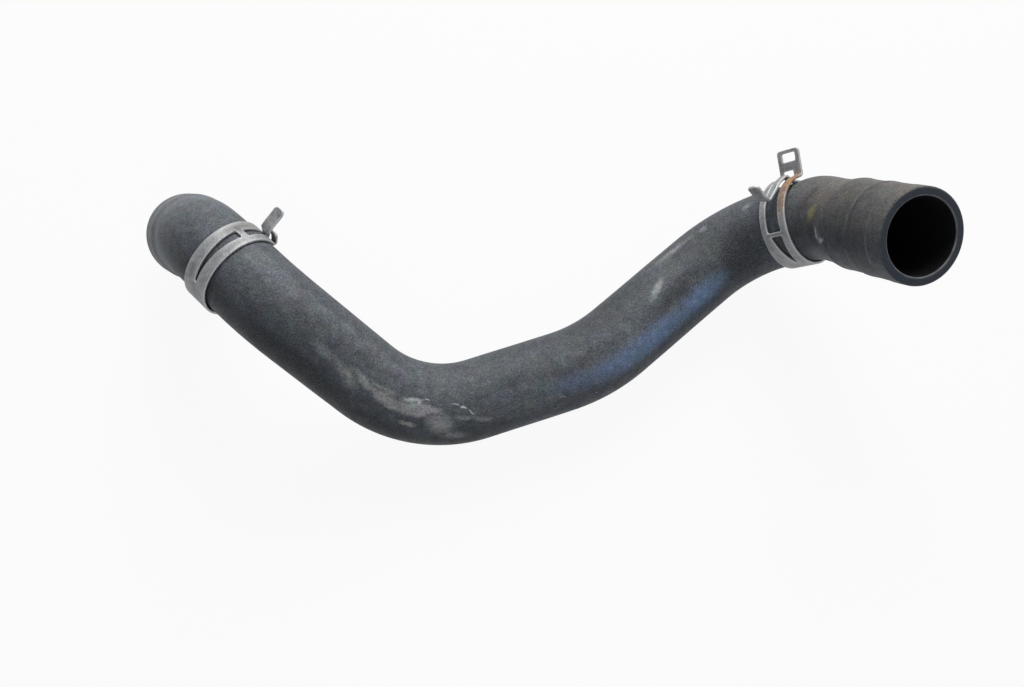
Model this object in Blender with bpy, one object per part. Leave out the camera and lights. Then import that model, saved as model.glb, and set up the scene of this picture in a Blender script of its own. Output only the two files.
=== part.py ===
# Moulded rubber coolant hose lying on a flat surface, with a spring band clamp slid
# inboard of each open end. Metres, +Z up, origin under the middle of its box.

import math

import bmesh
import bpy
import numpy as np
from mathutils import Matrix, Vector

# Hose, a little thicker in its left part than in its right part
LEFT_DIAMETER = 0.0419
RIGHT_DIAMETER = 0.0405
TAPER_START = 0.110         # from the left rim
TAPER_LENGTH = 0.120
HOSE_WALL = 0.0042
RIM_ROUNDING = 0.001
HOSE_SIDES = 36
BEND_STEP = math.radians(8)
SWELL_STEPS = 4
RIM_STEPS = 3
SHARP_ANGLE = math.radians(35)

# Swollen ends that fit over a spigot
END_DIAMETER = 0.0444
LEFT_SWELL_LENGTH = 0.026   # full end diameter, measured from the rim
LEFT_SWELL_RAMP = 0.012     # from the end diameter down to the hose's own
RIGHT_SWELL_LENGTH = 0.042
RIGHT_SWELL_RAMP = 0.016

# Shallow seat that a clamp has pressed into the right end
SEAT_FROM_RIM = 0.027
SEAT_WIDTH = 0.019
SEAT_DEPTH = 0.0005
SEAT_EDGE = 0.002

# Corners of the middle line, left end first, and the bend radius at each inner corner.
# The three corners on the bench lie half a hose above it.
BENCH_HEIGHT = RIGHT_DIAMETER / 2
ROUTE = [
    (-0.1738, 0.0578, 0.0126),
    (-0.1520, 0.0305, 0.0615),
    (-0.1155, -0.0060, 0.0665),
    (-0.0480, -0.0485, BENCH_HEIGHT),
    (0.0415, -0.0180, BENCH_HEIGHT),
    (0.1210, 0.0530, BENCH_HEIGHT),
    (0.1560, 0.0440, 0.0590),
    (0.1805, 0.0030, 0.1185),
]
BEND_RADII = [0.031, 0.055, 0.061, 0.089, 0.043, 0.025]

# Spring band clamps, each bent from one slotted strip
BAND_WIDTH = 0.015
BAND_THICKNESS = 0.0013
BAND_GAP = 0.0003           # between the band and the hose
RAIL_WIDTH = 0.0039         # each side of the slots
TONGUE_CLEARANCE = 0.0004   # between the tongue and each rail
FORK_SIDE = 0.0027          # each side of the fork's window
TOP_BAR_HEIGHT = 0.0019
TANG_BEND_RADIUS = 0.0018
TANG_CORNER = 0.0018
TANG_BEND_STEP = math.radians(22.5)
SHOULDER_ANGLE = 45         # over which the band narrows to its tongue
TONGUE_LEAD = 8             # the tongue is narrow from this angle before the fork
TONGUE_LIFT_START = 4       # past the fork, where the tongue starts to rise off the hose
TONGUE_LIFT_ANGLE = 14
TONGUE_LIFT_STEP = 3.5
FORK_SETTLE_ANGLE = 130     # over which the band comes down from the fork's root
SLOT_TIP_WIDTH = 0.0008
BAND_STEP = 7.5
TIP_SHARES = (0, 0.3, 1)    # how far down a tang's rounded tip its stations lie

# Angles in degrees around the hose, 0 at its top and growing to the front.
# Heights are above the band's middle surface.
LEFT_CLAMP = {
    "run": 1,
    "fork": -84,
    "fork_width": 0.0105,
    "fork_height": 0.0054,
    "fork_lift": 0,
    "window_height": 0,
    "lower_bar_height": 0,
    "tongue": -71.5,
    "tongue_height": 0.015,
    "tongue_lift": 0,
    "ramp": 24,
    "ramp_rise": 0.0022,
    "bridge": (-37, -28),
    "slot_tip": 57,
    "slot_shift": 0,
}
RIGHT_CLAMP = {
    "run": 5,
    "fork": -58,
    "fork_width": 0.0138,
    "fork_height": 0.0168,
    "fork_lift": 0.0019,
    "window_height": 0.0044,
    "lower_bar_height": 0.0046,
    "tongue": 2,
    "tongue_height": 0.0185,
    "tongue_lift": 0.0043,
    "ramp": 12,
    "ramp_rise": 0.006,
    "bridge": (41, 47),
    "slot_tip": 97,
    "slot_shift": -0.0008,
}


def clear_scene():
    for scene_object in list(bpy.data.objects):
        bpy.data.objects.remove(scene_object, do_unlink=True)


def make_material(name, color, roughness, metallic):
    material = bpy.data.materials.new(name)
    material.use_nodes = True
    shader = material.node_tree.nodes["Principled BSDF"]
    shader.inputs["Base Color"].default_value = (*color, 1)
    shader.inputs["Roughness"].default_value = roughness
    shader.inputs["Metallic"].default_value = metallic
    return material


# A route with each corner rounded to its radius, as a list of straight and round runs
def rounded_runs(corners, radii):
    points = [Vector(corner) for corner in corners]
    runs = []
    start = points[0]
    for corner, previous, following, radius in zip(points[1:-1], points, points[2:], radii):
        back = (previous - corner).normalized()
        onward = (following - corner).normalized()
        turn = math.pi - back.angle(onward)
        setback = radius * math.tan(turn / 2)
        bend_start = corner + back * setback
        middle = (back + onward).normalized()
        centre = corner + middle * (radius / math.cos(turn / 2))
        runs.append({"start": start, "end": bend_start, "turn": 0})
        runs.append({"start": bend_start, "centre": centre, "turn": turn,
                     "spin_axis": (bend_start - centre).cross(-back).normalized()})
        start = corner + onward * setback
    runs.append({"start": start, "end": points[-1], "turn": 0})
    return runs


def run_length(run):
    if run["turn"]:
        return run["turn"] * (run["start"] - run["centre"]).length
    return (run["end"] - run["start"]).length


# Place and direction on a run, at a share of its length
def point_on_run(run, share):
    if run["turn"]:
        spin = Matrix.Rotation(run["turn"] * share, 3, run["spin_axis"])
        arm = spin @ (run["start"] - run["centre"])
        return run["centre"] + arm, run["spin_axis"].cross(arm).normalized()
    return run["start"].lerp(run["end"], share), (run["end"] - run["start"]).normalized()


def point_on_route(runs, distance):
    for run in runs[:-1]:
        if distance <= run_length(run):
            return point_on_run(run, distance / run_length(run))
        distance -= run_length(run)
    return point_on_run(runs[-1], distance / run_length(runs[-1]))


# The distance of a straight run's middle, counting straight runs from the left end
def middle_of_straight(runs, number):
    before = sum(run_length(run) for run in runs[:2 * number])
    return before + run_length(runs[2 * number]) / 2


def ease(share):
    share = min(max(share, 0), 1)
    return share * share * (3 - 2 * share)


def body_radius(distance):
    thinned = ease((distance - TAPER_START) / TAPER_LENGTH)
    return (LEFT_DIAMETER + thinned * (RIGHT_DIAMETER - LEFT_DIAMETER)) / 2


def outer_radius(distance, length):
    left = 1 - ease((distance - LEFT_SWELL_LENGTH) / LEFT_SWELL_RAMP)
    right = 1 - ease((length - distance - RIGHT_SWELL_LENGTH) / RIGHT_SWELL_RAMP)
    body = body_radius(distance)
    return body + max(left, right) * (END_DIAMETER / 2 - body)


# Depth of the pressed seat, which has a soft edge on each side
def seat_depth(distance, length):
    inside = length - distance - SEAT_FROM_RIM
    return SEAT_DEPTH * ease(inside / SEAT_EDGE) * ease((SEAT_WIDTH - inside) / SEAT_EDGE)


# Distances along the route that need a ring of points: the bends and the swells
def ring_distances(runs, length):
    stops = []
    start = 0
    for run in runs:
        steps = max(1, math.ceil(run["turn"] / BEND_STEP))
        stops += [start + run_length(run) * k / steps for k in range(steps)]
        start += run_length(run)
    for k in range(SWELL_STEPS + 1):
        stops.append(LEFT_SWELL_LENGTH + LEFT_SWELL_RAMP * k / SWELL_STEPS)
        stops.append(length - RIGHT_SWELL_LENGTH - RIGHT_SWELL_RAMP * k / SWELL_STEPS)
    return stops


def seat_distances(length):
    near = length - SEAT_FROM_RIM
    far = near - SEAT_WIDTH
    return [near, near - SEAT_EDGE, far + SEAT_EDGE, far]


# Stops in order, clear of the rims' rounding and at least that far apart
def spaced(stops, length):
    kept = [2 * RIM_ROUNDING]
    for stop in sorted(stops):
        if stop - kept[-1] > RIM_ROUNDING and stop < length - 2 * RIM_ROUNDING:
            kept.append(stop)
    return kept


# Closed profile of the wall as (distance, radius): out along the skin, round the right
# rim, back along the bore and round the left rim
def wall_profile(runs):
    length = sum(run_length(run) for run in runs)
    stops = ring_distances(runs, length)
    skin = [(stop, outer_radius(stop, length) - seat_depth(stop, length))
            for stop in spaced(stops + seat_distances(length), length)]
    bore = [(stop, outer_radius(stop, length) - HOSE_WALL) for stop in reversed(spaced(stops, length))]
    outer = END_DIAMETER / 2 - RIM_ROUNDING
    inner = END_DIAMETER / 2 - HOSE_WALL + RIM_ROUNDING
    turn = [math.pi / 2 * k / RIM_STEPS for k in range(RIM_STEPS + 1)]
    sine = [RIM_ROUNDING * math.sin(angle) for angle in turn]
    cosine = [RIM_ROUNDING * math.cos(angle) for angle in turn]
    right = [(length - RIM_ROUNDING + s, outer + c) for s, c in zip(sine, cosine)]
    right += [(length - RIM_ROUNDING + c, inner - s) for s, c in zip(sine, cosine)]
    left = [(RIM_ROUNDING - s, inner - c) for s, c in zip(sine, cosine)]
    left += [(RIM_ROUNDING - c, outer + s) for s, c in zip(sine, cosine)]
    return skin + right + bore + left


# A frame carried along the route without twisting, looked up by distance
def carried_frames(runs, distances):
    frames = {}
    direction = point_on_route(runs, 0)[1]
    side = direction.cross(Vector((0, 0, 1))).normalized()
    for distance in sorted(set(distances)):
        point, onward = point_on_route(runs, distance)
        side = direction.rotation_difference(onward) @ side
        direction = onward
        frames[distance] = (point, side, onward.cross(side))
    return frames


def new_object(name, faces_mesh, material):
    mesh = bpy.data.meshes.new(name)
    bmesh.ops.recalc_face_normals(faces_mesh, faces=faces_mesh.faces)
    faces_mesh.to_mesh(mesh)
    faces_mesh.free()
    mesh.shade_smooth()
    mesh.set_sharp_from_angle(angle=SHARP_ANGLE)
    mesh.materials.append(material)
    made = bpy.data.objects.new(name, mesh)
    bpy.context.collection.objects.link(made)
    return made


def make_hose(runs, material):
    profile = wall_profile(runs)
    frames = carried_frames(runs, [distance for distance, radius in profile])
    shape = bmesh.new()
    rings = []
    for distance, radius in profile:
        point, side, up = frames[distance]
        ring = []
        for k in range(HOSE_SIDES):
            angle = 2 * math.pi * k / HOSE_SIDES
            ring.append(shape.verts.new(point + radius * (math.cos(angle) * side + math.sin(angle) * up)))
        rings.append(ring)
    for ring, following in zip(rings, rings[1:] + rings[:1]):
        for k in range(HOSE_SIDES):
            n = (k + 1) % HOSE_SIDES
            shape.faces.new((ring[k], ring[n], following[n], following[k]))
    return new_object("coolant_hose", shape, material)


# A point of the clamp's side view: X to the front, Y up from the hose's middle line
def polar(angle, radius):
    angle = math.radians(angle)
    return Vector((radius * math.sin(angle), radius * math.cos(angle), 0))


def sampled(runs, step):
    points = []
    for run in runs:
        steps = max(1, math.ceil(run["turn"] / step))
        points += [point_on_run(run, k / steps)[0] for k in range(steps)]
    return points + [point_on_run(runs[-1], 1)[0]]


# How far a tang's side has stepped in, at a distance below its rounded tip
def corner_drop(level):
    return TANG_CORNER - math.sqrt(max(TANG_CORNER ** 2 - (TANG_CORNER - min(level, TANG_CORNER)) ** 2, 0))


# Stations along the strip, from the top of the fork round to the tip of the tongue.
# Each has its side view point, half widths of the strip and of its slot, and whether
# rails and middle are there between it and the next station.
def strip_stations(clamp, radius):
    half = BAND_WIDTH / 2
    slot = half - RAIL_WIDTH
    tongue = slot - TONGUE_CLEARANCE
    fork = clamp["fork"]
    fork_half = clamp["fork_width"] / 2
    window = fork_half - FORK_SIDE
    fork_top = radius + clamp["fork_height"]
    stations = []

    # Radius of the band, which stands off the hose at the fork's root and settles onto it
    def band_radius(angle):
        return radius + clamp["fork_lift"] * (1 - ease((angle - fork) / FORK_SETTLE_ANGLE))

    def add(point, width, gap, rails, middle, centre=0, shift=clamp["slot_shift"]):
        stations.append({"point": point, "width": width, "gap": gap, "centre": centre, "shift": shift,
                         "rails": rails, "middle": middle})

    # Fork: a top bar with round corners, then a window and a lower bar where it is tall
    for share in TIP_SHARES:
        level = TOP_BAR_HEIGHT * share
        add(polar(fork, fork_top - level), fork_half - corner_drop(level), window, True, share < 1, shift=0)
    level = TOP_BAR_HEIGHT
    if clamp["window_height"]:
        level += clamp["window_height"]
        add(polar(fork, fork_top - level), fork_half, window, True, True, shift=0)
        level += clamp["lower_bar_height"]
        add(polar(fork, fork_top - level), fork_half, slot, True, False)
    first = fork + BAND_STEP
    root = [polar(fork, fork_top - level), polar(fork, band_radius(fork)), polar(first, band_radius(first))]
    bend = sampled(rounded_runs(root, [TANG_BEND_RADIUS]), TANG_BEND_STEP)[1:]
    for number, point in enumerate(bend):
        spread = number / (len(bend) - 1)
        add(point, fork_half + (half - fork_half) * spread, slot, True, False)

    # Slotted part of the band, with one bridge and a second slot that tapers
    bridge_start, bridge_end = clamp["bridge"]
    last = clamp["tongue"] - clamp["ramp"] + 360
    narrow = min(last, fork - TONGUE_LEAD + 360)
    shoulder = narrow - SHOULDER_ANGLE
    lift_start = min(last, fork + TONGUE_LIFT_START + 360)
    lift_end = min(last, lift_start + TONGUE_LIFT_ANGLE)
    breaks = [first, bridge_start, bridge_end, clamp["slot_tip"], shoulder, narrow,
              lift_start, lift_end, last]
    for begin, end in zip(breaks, breaks[1:]):
        steps = math.ceil((end - begin) / (TONGUE_LIFT_STEP if begin == lift_start else BAND_STEP))
        for k in range(1 if begin == first else 0, steps):
            angle = begin + (end - begin) * k / steps
            reach = band_radius(angle)
            width = half
            gap = slot
            centre = 0
            if begin == bridge_end:
                gap += (SLOT_TIP_WIDTH / 2 - slot) * k / steps
            if begin == clamp["slot_tip"]:
                gap = SLOT_TIP_WIDTH / 2 + (tongue - SLOT_TIP_WIDTH / 2) * k / steps
            if begin == shoulder:
                gap = tongue
                width += (slot - half) * k / steps
                centre = clamp["slot_shift"] * k / steps
            if begin >= narrow:
                gap = tongue
                width = slot
                centre = clamp["slot_shift"]
                reach += clamp["tongue_lift"] * ease((angle - lift_start) / TONGUE_LIFT_ANGLE)
            middle = begin >= clamp["slot_tip"] or begin == bridge_start
            add(polar(angle, reach), width, gap, begin < narrow, middle, centre)

    # Tongue: a ramp off the hose, then an upright tang with a rounded tip
    foot = polar(last, radius + clamp["tongue_lift"])
    knee = polar(clamp["tongue"], radius + clamp["ramp_rise"])
    tip = polar(clamp["tongue"], radius + clamp["tongue_height"])
    upward = (tip - knee).normalized()
    neck = tip - upward * TANG_CORNER
    for point in sampled(rounded_runs([foot, knee, neck], [TANG_BEND_RADIUS]), TANG_BEND_STEP)[:-1]:
        add(point, slot, tongue, False, True)
    for share in reversed(TIP_SHARES):
        level = TANG_CORNER * share
        add(tip - upward * level, slot, tongue - corner_drop(level), False, True)
    return stations


# The strip's two skins over its solid cells, closed by a wall wherever a cell has no neighbour
def make_clamp(name, clamp, runs, material):
    distance = middle_of_straight(runs, clamp["run"])
    point, direction = point_on_route(runs, distance)
    top = (Vector((0, 0, 1)) - direction * direction.z).normalized()
    front = direction.cross(top)
    radius = body_radius(distance) + BAND_GAP + BAND_THICKNESS / 2
    stations = strip_stations(clamp, radius)
    places = [station["point"] for station in stations]
    shape = bmesh.new()
    skins = []
    for number, station in enumerate(stations):
        ahead = places[min(number + 1, len(places) - 1)]
        behind = places[max(number - 1, 0)]
        incoming = (places[number] - behind).normalized()
        outgoing = (ahead - places[number]).normalized()
        along = (incoming + outgoing).normalized()
        reach = BAND_THICKNESS / 2
        if 0 < number < len(places) - 1:
            reach /= incoming.dot(along)
        outward = Vector((-along.y, along.x, 0)) * reach
        columns = (station["centre"] - station["width"], station["shift"] - station["gap"],
                   station["shift"] + station["gap"], station["centre"] + station["width"])
        for skin_side in (1, -1):
            flat = places[number] + outward * skin_side
            base = point + front * flat.x + top * flat.y
            skins.append([base + direction * column for column in columns])
    verts = {}

    def vert(number, skin_side, column):
        key = (number, skin_side, column)
        if key not in verts:
            verts[key] = shape.verts.new(skins[2 * number + skin_side][column])
        return verts[key]

    cells = set()
    for number, station in enumerate(stations[:-1]):
        if station["rails"]:
            cells.update({(number, 0), (number, 2)})
        if station["middle"]:
            cells.add((number, 1))
    for number, column in sorted(cells):
        ends = ((number, column), (number, column + 1), (number + 1, column + 1), (number + 1, column))
        shape.faces.new([vert(n, 0, c) for n, c in ends])
        shape.faces.new([vert(n, 1, c) for n, c in reversed(ends)])
        neighbours = ((number - 1, column), (number, column + 1), (number + 1, column), (number, column - 1))
        for side, neighbour in enumerate(neighbours):
            if neighbour in cells:
                continue
            first = ends[side]
            second = ends[(side + 1) % 4]
            shape.faces.new((vert(first[0], 0, first[1]), vert(first[0], 1, first[1]),
                             vert(second[0], 1, second[1]), vert(second[0], 0, second[1])))
    return new_object(name, shape, material)


# Moves the whole part so that it stands on Z = 0 with its box centred on the origin
def settle(objects):
    corners = np.array([made.matrix_world @ vertex.co for made in objects for vertex in made.data.vertices])
    low = corners.min(axis=0)
    high = corners.max(axis=0)
    shift = Matrix.Translation((-(low[0] + high[0]) / 2, -(low[1] + high[1]) / 2, -low[2]))
    for made in objects:
        made.data.transform(shift)


def main():
    clear_scene()
    rubber = make_material("slate rubber", (0.055, 0.062, 0.070), 0.62, 0)
    zinc = make_material("zinc spring steel", (0.42, 0.43, 0.45), 0.45, 1)
    runs = rounded_runs(ROUTE, BEND_RADII)
    settle([
        make_hose(runs, rubber),
        make_clamp("left_spring_clamp", LEFT_CLAMP, runs, zinc),
        make_clamp("right_spring_clamp", RIGHT_CLAMP, runs, zinc),
    ])


main()
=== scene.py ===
import math

import bpy
import numpy as np
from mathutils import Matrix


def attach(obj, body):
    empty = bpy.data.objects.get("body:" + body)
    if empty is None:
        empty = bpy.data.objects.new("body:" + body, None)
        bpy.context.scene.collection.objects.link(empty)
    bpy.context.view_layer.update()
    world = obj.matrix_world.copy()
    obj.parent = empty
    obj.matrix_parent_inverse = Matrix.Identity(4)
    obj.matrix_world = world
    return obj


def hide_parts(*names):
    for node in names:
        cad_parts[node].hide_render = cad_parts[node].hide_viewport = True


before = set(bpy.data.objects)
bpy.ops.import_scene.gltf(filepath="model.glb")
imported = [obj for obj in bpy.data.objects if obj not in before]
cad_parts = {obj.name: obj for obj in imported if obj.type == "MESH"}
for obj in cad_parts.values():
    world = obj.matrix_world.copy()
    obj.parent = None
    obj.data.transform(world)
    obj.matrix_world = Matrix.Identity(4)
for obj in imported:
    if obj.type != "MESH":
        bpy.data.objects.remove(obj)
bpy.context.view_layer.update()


# Smooth step from 0 to 1: x x (3 - 2x)
def ease(x):
    x = np.clip(x, 0, 1)
    return x * x * (3 - 2 * x)


# A bell of height 1 around a place: exp(-(x / width)^2)
def bell(x, width):
    return np.exp(-(x / width) ** 2)


# Straight legs between corners, each inner corner replaced by an arc that touches both legs:
# it starts radius x tan(turn / 2) before the corner.
def roundedLine(corners, radii):
    corners = np.array(corners, float)
    radii = np.array(radii, float)
    legs = np.diff(corners, axis=0)
    lengths = np.linalg.norm(legs, axis=1)
    heading = legs / lengths[:, None]
    turn = np.arccos(np.clip((heading[:-1] * heading[1:]).sum(1), -1, 1))
    setback = np.r_[0, radii * np.tan(turn / 2), 0]
    straight = lengths - setback[:-1] - setback[1:]
    runs = np.zeros(2 * len(legs) - 1)
    runs[::2] = straight
    runs[1::2] = radii * turn
    inward = heading[1:] - heading[:-1] * np.cos(turn)[:, None]
    inward /= np.linalg.norm(inward, axis=1)[:, None]
    return {"cuts": np.r_[0, np.cumsum(runs)], "heading": heading, "straight": straight,
            "starts": corners[:-1] + heading * setback[:-1, None], "inward": inward, "radii": radii}


# Points and directions at distances along a rounded line. On an arc, with a = distance / radius:
# point = arc start + radius (sin a) heading + radius (1 - cos a) inward.
def alongLine(line, distance):
    distance = np.asarray(distance, float)
    run = np.clip(np.searchsorted(line["cuts"], distance, side="right") - 1, 0, len(line["cuts"]) - 2)
    within = distance - line["cuts"][run]
    leg = run // 2
    bend = np.minimum(leg, len(line["radii"]) - 1)
    onArc = (run % 2 == 1)[:, None]
    radius = line["radii"][bend][:, None]
    angle = np.where(onArc, within[:, None] / radius, 0)
    heading = line["heading"][leg]
    inward = line["inward"][bend]
    arcStart = line["starts"][leg] + heading * line["straight"][leg][:, None]
    arc = arcStart + radius * (np.sin(angle) * heading + (1 - np.cos(angle)) * inward)
    points = np.where(onArc, arc, line["starts"][leg] + heading * within[:, None])
    return points, np.cos(angle) * heading + np.sin(angle) * inward


# Middle line with its up and front: up is +Z made square to the direction, front = direction x up
def carriedFrame(line, distance):
    points, direction = alongLine(line, distance)
    up = np.array([0, 0, 1.0]) - direction * direction[:, 2:]
    up /= np.linalg.norm(up, axis=1)[:, None]
    return points, direction, up, np.cross(direction, up)


# A mesh from point and quad arrays, with a flat map given for each face corner
def makeSurface(name, points, quads, flatMap, material):
    mesh = bpy.data.meshes.new(name)
    mesh.vertices.add(len(points))
    mesh.vertices.foreach_set("co", points.astype(np.float32).ravel())
    mesh.loops.add(quads.size)
    mesh.loops.foreach_set("vertex_index", quads.astype(np.int32).ravel())
    mesh.polygons.add(len(quads))
    mesh.polygons.foreach_set("loop_start", np.arange(0, quads.size, 4, dtype=np.int32))
    mesh.update(calc_edges=True)
    mesh.uv_layers.new(name="flatMap").uv.foreach_set("vector", flatMap.astype(np.float32).ravel())
    mesh.materials.append(material)
    mesh.shade_smooth()
    mesh.validate()
    made = bpy.data.objects.new(name, mesh)
    bpy.context.collection.objects.link(made)
    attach(made, "root")
    return made


def startMaterial(name):
    material = bpy.data.materials.new(name)
    material.use_nodes = True
    tree = material.node_tree
    shader = tree.nodes["Principled BSDF"]

    # Adds a node: settings are its properties, inputs its sockets by name or number
    def add(kind, inputs, **settings):
        made = tree.nodes.new("ShaderNode" + kind)
        for key, value in settings.items():
            setattr(made, key, value)
        for key, value in inputs.items():
            if isinstance(value, bpy.types.NodeSocket):
                tree.links.new(value, made.inputs[key])
            else:
                made.inputs[key].default_value = value
        return made

    return material, tree, shader, add


def mixColor(add, share, first, second, blend="MIX"):
    return add("Mix", {0: share, 6: first, 7: second}, data_type="RGBA", blend_type=blend).outputs[2]


def calc(add, operation, first, second=0.0):
    return add("Math", {0: first, 1: second}, operation=operation).outputs[0]


# value x gain + offset
def scaled(add, value, gain, offset):
    return calc(add, "ADD", calc(add, "MULTIPLY", value, gain), offset)


# 0 at the low level, 1 at the high one, held beyond them
def ramp(add, value, low, high):
    return add("MapRange", {"Value": value, "From Min": low, "From Max": high}).outputs[0]


def noise(add, place, scale, detail=2.0, roughness=0.6):
    return add("TexNoise", {"Vector": place, "Scale": scale, "Detail": detail, "Roughness": roughness})


# Noise from 0 to 1, stretched between two levels
def speckle(add, place, scale, low, high, detail=4.0):
    return ramp(add, noise(add, place, scale, detail, 0.55).outputs[0], low, high)


# The flat map pushed about by noise, so that marks on it have worn edges
def raggedPlace(add, solid, flat, scale, reach):
    push = noise(add, solid, scale, 3.0, 0.5).outputs["Color"]
    push = add("VectorMath", {0: push, 1: (0.5, 0.5, 0.5)}, operation="SUBTRACT").outputs[0]
    push = add("VectorMath", {0: push, "Scale": reach}, operation="SCALE").outputs[0]
    return add("VectorMath", {0: flat, 1: push}, operation="ADD").outputs[0]


# A soft edged oval on the flat map, in mm: 1 inside, 0 outside. The smooth step holds to 0 and 1
# by itself. About 60 ovals are the most that one material can hold.
def ovalMark(add, place, along, across, halfLength, halfWidth, turn, softness):
    local = add("Mapping", {"Vector": place, "Location": (along / 1000, across / 1000, 0),
                            "Rotation": (0, 0, math.radians(turn)),
                            "Scale": (halfLength / 1000, halfWidth / 1000, 1)}, vector_type="TEXTURE")
    reach = add("VectorMath", {0: local.outputs[0]}, operation="LENGTH").outputs["Value"]
    return add("MapRange", {"Value": reach, "From Min": 1.0, "From Max": 1.0 - softness},
               interpolation_type="SMOOTHSTEP", clamp=False).outputs[0]


# All marks of a list, each weighted by its strength; the strongest wins at each place
def joinedMarks(add, place, marks):
    total = None
    for along, across, halfLength, halfWidth, turn, strength, softness in marks:
        oval = ovalMark(add, place, along, across, halfLength, halfWidth, turn, softness)
        weighted = calc(add, "MULTIPLY", oval, strength)
        total = weighted if total is None else calc(add, "MAXIMUM", total, weighted)
    return total


# A band between two distances in mm, with soft edges
def ringBand(add, distance, start, end, edge):
    rise = ramp(add, distance, (start - edge) / 1000, (start + edge) / 1000)
    fall = ramp(add, distance, (end + edge) / 1000, (end - edge) / 1000)
    return calc(add, "MULTIPLY", rise, fall)


print("hose")
hose = {
    "corners": [(-0.17734, 0.04756, 0.01255), (-0.15554, 0.02026, 0.06145), (-0.11904, -0.01624, 0.06645),
                (-0.05154, -0.05874, 0.02020), (0.03796, -0.02824, 0.02020), (0.11746, 0.04276, 0.02020),
                (0.15246, 0.03376, 0.05895), (0.17696, -0.00724, 0.11845)],
    "bendRadii": [0.031, 0.055, 0.061, 0.089, 0.043, 0.025],
    "leftDiameter": 0.0419,
    "rightDiameter": 0.0405,
    "taper": (0.110, 0.120),          # where it starts, and over what length
    "endDiameter": 0.0444,
    "leftSwell": (0.026, 0.012),      # full width from the rim, then the ramp
    "rightSwell": (0.042, 0.016),
    # From the right rim: start, width, depth, ramp
    "seat": (0.027, 0.019, 0.0005, 0.003),
    "imprint": (0.0098, 0.0145, 0.0002, 0.001),   # an old band's mark
    "crease": (0.00022, 0.0006),      # at both its edges: depth, half width
    "grip": (0.0085, 0.0002, 0.002),  # under a clamp: half width, depth, ramp
    "wall": 0.0042,
    "rimRounding": 0.0010,
    "inset": -0.0001,                 # how far the skin lies inside the solids
    "unevenness": 0.00010,
    "rimFade": 0.01,                  # the unevenness fades out over this length
    # Lumps: distance, angle, length, spread, height
    "lumps": [(0.4405, -0.95, 0.0065, 0.75, 0.0009), (0.4660, -0.9, 0.010, 0.9, 0.0003),
              (0.4890, 1.2, 0.007, 0.6, -0.0004), (0.4600, 1.9, 0.006, 0.5, 0.0004),
              (0.0829, -1.08, 0.0017, 0.30, 0.0015)],
    "sides": 120,
    "fineSpans": (0.045, 0.065),      # closer rows over these lengths at the left and right ends
    "rowCounts": (56, 250, 110, 130),   # left end, middle and right end of the skin, then the bore
    "arcRadius": 0.0208,              # flat map: angle x this radius
}
hoseLine = roundedLine(hose["corners"], hose["bendRadii"])
hoseLength = hoseLine["cuts"][-1]


# left + ease((s - start) / length) (right - left), halved
def bodyRadius(s):
    start, length = hose["taper"]
    narrowing = hose["rightDiameter"] - hose["leftDiameter"]
    return (hose["leftDiameter"] + ease((s - start) / length) * narrowing) / 2


# Body radius, widened to the end diameter at both ends: body + swell (end - body)
def plainRadius(s):
    leftLength, leftRamp = hose["leftSwell"]
    rightLength, rightRamp = hose["rightSwell"]
    left = 1 - ease((s - leftLength) / leftRamp)
    right = 1 - ease((hoseLength - s - rightLength) / rightRamp)
    body = bodyRadius(s)
    return body + np.maximum(left, right) * (hose["endDiameter"] / 2 - body)


# A pressed groove with sloped sides: depth x ease(inside / slope) x ease((width - inside) / slope)
def groove(inside, width, depth, slope):
    return depth * ease(inside / slope) * ease((width - inside) / slope)


# What the skin adds to the plain radius over distance s and angle a: the pressed seat, a band's
# imprint with a crease at each edge, the grip under both clamps, soft lumps, and slow waves that fade
# out at the rims
def skinDetail(s, a):
    fromRight = hoseLength - s
    seatStart, seatWidth, seatDepth, seatRamp = hose["seat"]
    detail = -groove(fromRight - seatStart, seatWidth, seatDepth, seatRamp)
    imprintStart, imprintWidth, imprintDepth, imprintRamp = hose["imprint"]
    inside = fromRight - imprintStart
    detail = detail - groove(inside, imprintWidth, imprintDepth, imprintRamp)
    # The creases waver and fade around the hose
    creaseDepth, creaseWidth = hose["crease"]
    inside = inside + creaseWidth * (np.sin(2 * a + 0.4) + 0.5 * np.sin(5 * a))
    wear = 0.65 + 0.35 * np.sin(3 * a + 1.0)
    for edge in (0, imprintWidth):
        detail = detail - creaseDepth * wear * bell(inside - edge, creaseWidth)
    gripHalf, gripDepth, gripRamp = hose["grip"]
    for clamp in (leftClamp, rightClamp):
        away = np.abs(s - clampDistance(clamp))
        detail = detail - gripDepth * ease((gripHalf - away) / gripRamp)
    for along, around, length, spread, height in hose["lumps"]:
        turned = (a - around + np.pi) % (2 * np.pi) - np.pi
        detail = detail + height * bell(s - along, length) * bell(turned, spread)
    # Four waves, whose heights add up to 2.5
    waves = (np.sin(2 * a + 41 * s + 0.6) + 0.6 * np.sin(3 * a - 67 * s + 2.1)
             + 0.5 * np.sin(5 * a + 113 * s) + 0.4 * np.sin(173 * s + 1.3 * np.sin(a)))
    fade = ease(s / hose["rimFade"]) * ease(fromRight / hose["rimFade"])
    return detail + hose["unevenness"] * waves / 2.5 * fade


# A clamp sits at the middle of its straight run, plus its slide
def clampDistance(clamp):
    cuts = hoseLine["cuts"]
    return (cuts[2 * clamp["run"]] + cuts[2 * clamp["run"] + 1]) / 2 + clamp["slide"]


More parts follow.
